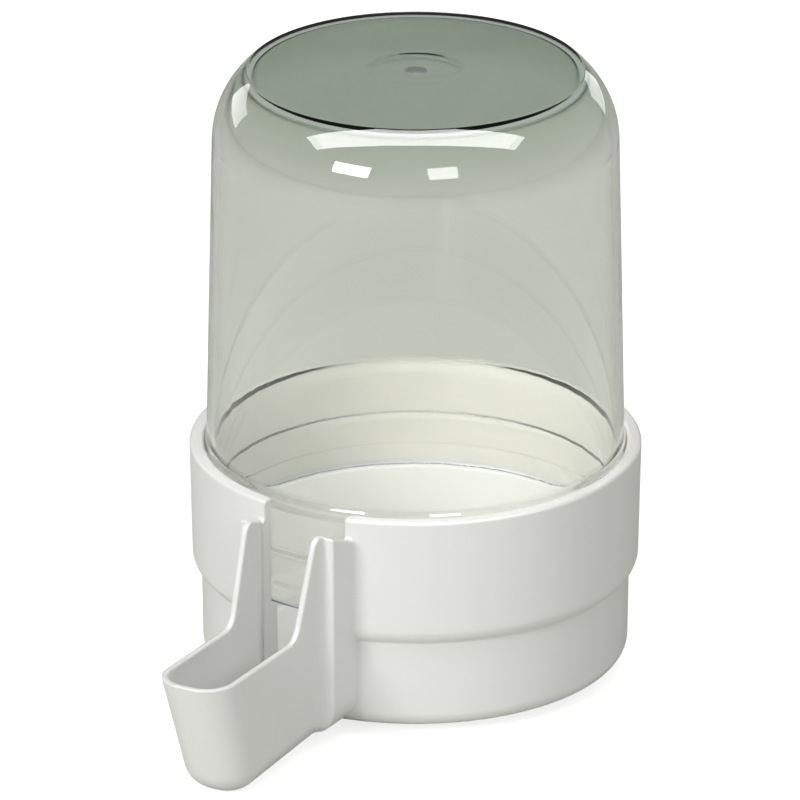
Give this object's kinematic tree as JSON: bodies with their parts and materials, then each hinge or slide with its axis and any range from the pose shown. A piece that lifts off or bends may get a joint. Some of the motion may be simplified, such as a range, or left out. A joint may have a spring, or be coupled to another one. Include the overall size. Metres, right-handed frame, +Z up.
{
  "type": "bird drinker",
  "caption": "Siphon bird drinker: a clear inverted reservoir stands in a white round base, whose spout reaches between the wires of a cage.",
  "frame": {"origin": "on the axis of the cup, in the plane of the flat foot that the base stands on", "axes": "+Z up along the axis of the cup and the reservoir, -Y along the spout, from the cup to its tip, +X across the spout"},
  "size_m": [0.08, 0.1205, 0.111],
  "materials": {
    "white_plastic": "gloss",
    "clear_plastic": "clear"
  },
  "bodies": {
    "base": {"base": "white_plastic"},
    "reservoir": {"reservoir": "clear_plastic"}
  },
  "joints": [
    {"name": "reservoir_lift", "type": "slide", "parent": "base", "child": "reservoir", "axis": [0, 0, 1], "range_m": [0, 0.06]}
  ]
}
